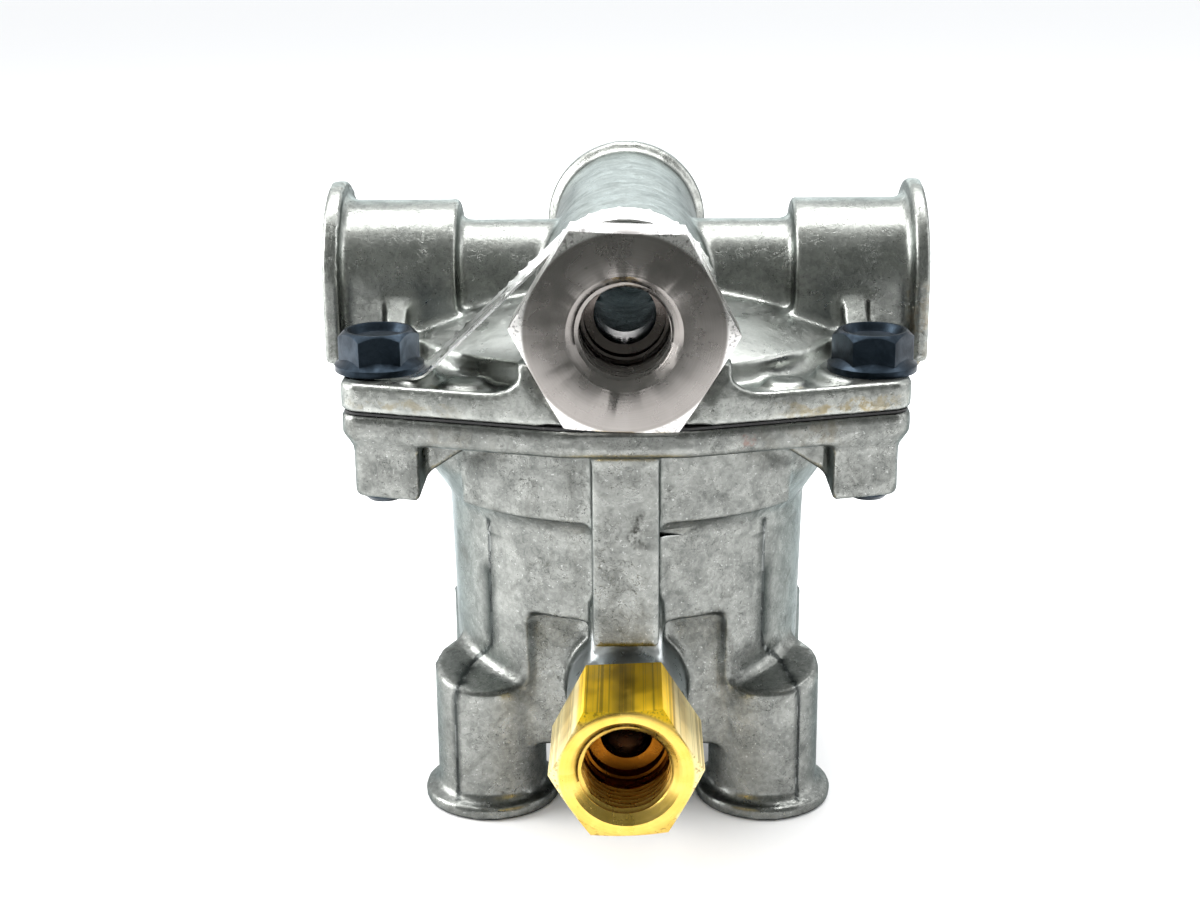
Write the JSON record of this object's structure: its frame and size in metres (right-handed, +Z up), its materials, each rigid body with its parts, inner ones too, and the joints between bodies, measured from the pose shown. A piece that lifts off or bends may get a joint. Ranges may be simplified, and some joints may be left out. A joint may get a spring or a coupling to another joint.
{
  "type": "air relay valve",
  "caption": "Air relay valve: bolted cover and lower casting, flanged side, rear and lower ports, steel and brass hexagon adapters, sliding relay piston and inlet-exhaust valve.",
  "frame": {"origin": "centre of the footprint, level with the faces of the four lower ports", "axes": "+Z up along the body axis, +X out of the right port, +Y out of the rear port"},
  "size_m": [0.11, 0.121, 0.116],
  "materials": {
    "casting_grey": "die cast, unpainted, mottled satin",
    "casting_light": "die cast, unpainted, mottled satin",
    "gasket_black": "matt",
    "bolt_black": "black phosphate and oil, satin",
    "tag_aluminium": "rolled sheet, embossed",
    "turned_steel": "turned face, fine rings",
    "brass": "machined bar, slight tarnish",
    "piston_aluminium": "machined casting",
    "seal_rubber": "matt",
    "spring_steel": "drawn wire",
    "brass_valve": "turned",
    "plated_steel": "zinc plated",
    "guide_aluminium": "turned"
  },
  "bodies": {
    "housing": {"lower_casting": "casting_grey", "cover_casting": "casting_light", "joint_gasket": "gasket_black", "bolt_front_left": "bolt_black", "bolt_front_right": "bolt_black", "bolt_rear_left": "bolt_black", "bolt_rear_right": "bolt_black", "id_tag": "tag_aluminium", "steel_adapter": "turned_steel", "brass_adapter": "brass", "piston_spring": "spring_steel", "valve_spring": "spring_steel", "spring_seat": "plated_steel", "valve_guide": "guide_aluminium", "guide_outer_ring": "seal_rubber", "guide_inner_ring": "seal_rubber", "exhaust_plate": "plated_steel", "exhaust_diaphragm": "seal_rubber", "diaphragm_washer": "plated_steel", "diaphragm_screw": "plated_steel", "retaining_ring": "spring_steel"},
    "inlet_valve": {"valve_tube": "brass_valve", "valve_face": "seal_rubber"},
    "relay_piston": {"relay_piston": "piston_aluminium", "piston_ring": "seal_rubber"}
  },
  "joints": [
    {"name": "inlet_valve_slide", "type": "slide", "parent": "housing", "child": "inlet_valve", "axis": [0, 0, -1], "range_m": [0, 0.0018], "stiffness_N_per_m": 900, "springref_m": -0.002, "deforming": ["valve_spring"]},
    {"name": "relay_piston_slide", "type": "slide", "parent": "inlet_valve", "child": "relay_piston", "axis": [0, 0, -1], "range_m": [0, 0.0015], "stiffness_N_per_m": 700, "springref_m": -0.0016, "deforming": ["piston_spring"]}
  ]
}
